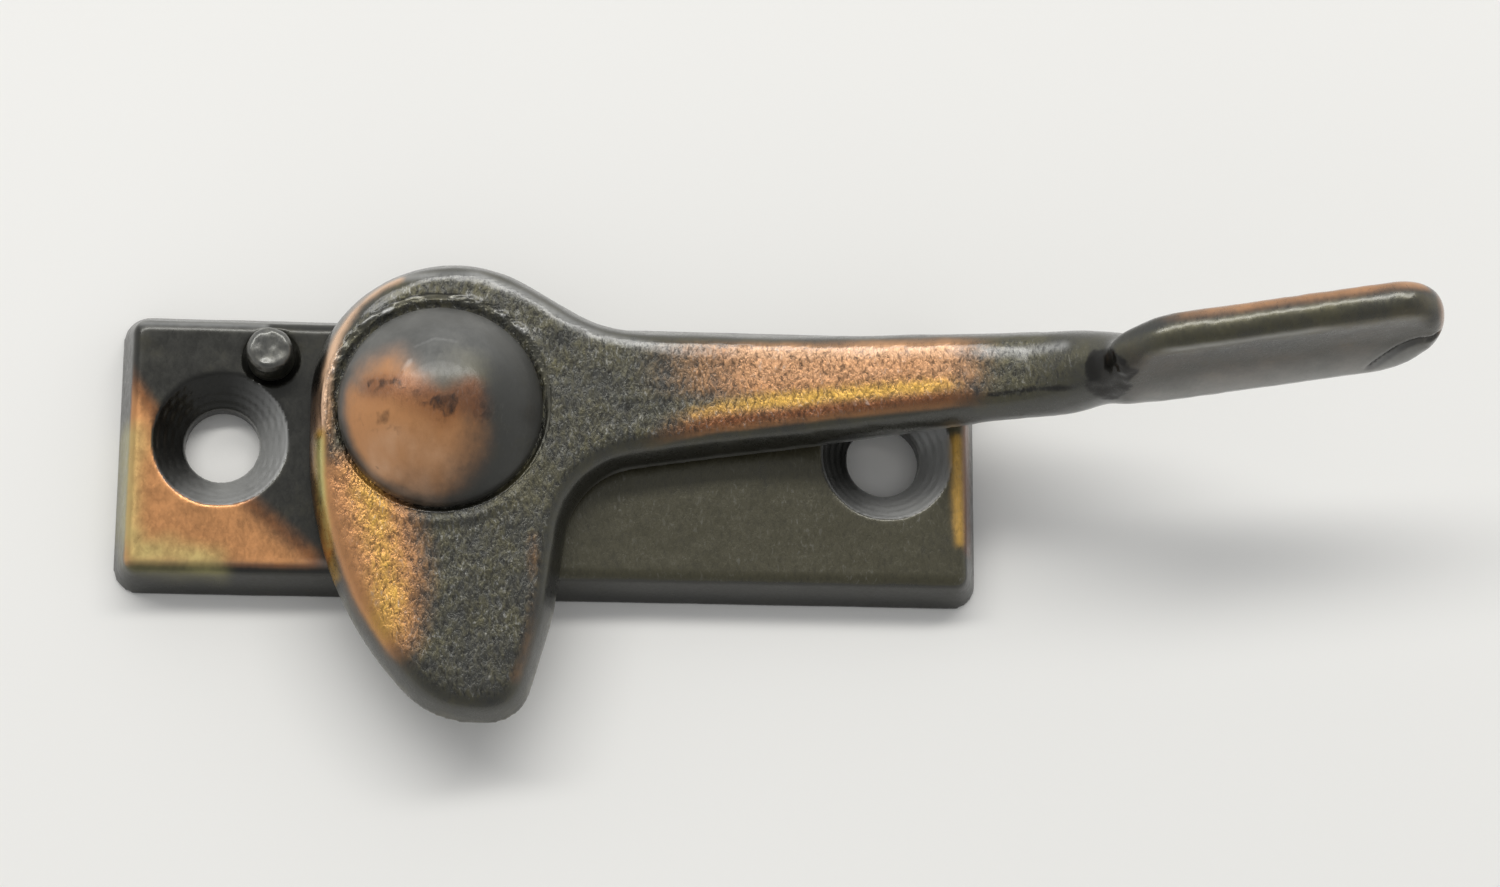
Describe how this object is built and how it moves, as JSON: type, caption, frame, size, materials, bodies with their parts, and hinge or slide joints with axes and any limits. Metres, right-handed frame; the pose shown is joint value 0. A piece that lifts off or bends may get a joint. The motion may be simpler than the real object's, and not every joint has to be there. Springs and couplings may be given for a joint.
{
  "type": "casement window fastener",
  "caption": "Casement window fastener: a lever with a broad wedge tongue and a raised thumb blade turns on a domed rivet above a flat screw plate with a stop pin.",
  "frame": {"origin": "midway between the centres of the two screw holes, on the plate's back face", "axes": "+X along the line of the screw holes towards the thumb blade, +Z away from the window out of the plate's face, +Y across the plate away from the tongue"},
  "size_m": [0.0799, 0.0289, 0.0204],
  "materials": {
    "plate_iron": "dark oxidised cast iron, copper showing at one corner",
    "pin_iron": "dark oxidised",
    "washer_brass": "dull",
    "rivet_iron": "smooth, dark with worn copper",
    "lever_iron": "cast grain, dark with flashed copper and gold"
  },
  "bodies": {
    "base": {"base_plate": "plate_iron", "stop_pin": "pin_iron", "pivot_rivet": "rivet_iron", "friction_washer": "washer_brass"},
    "lever": {"lever": "lever_iron"}
  },
  "joints": [
    {"name": "lever_pivot", "type": "hinge", "parent": "base", "child": "lever", "pos_m": [-0.0072, 0.0015, 0.0036], "axis": [0, 0, 1], "range_deg": [-53, 70]}
  ]
}
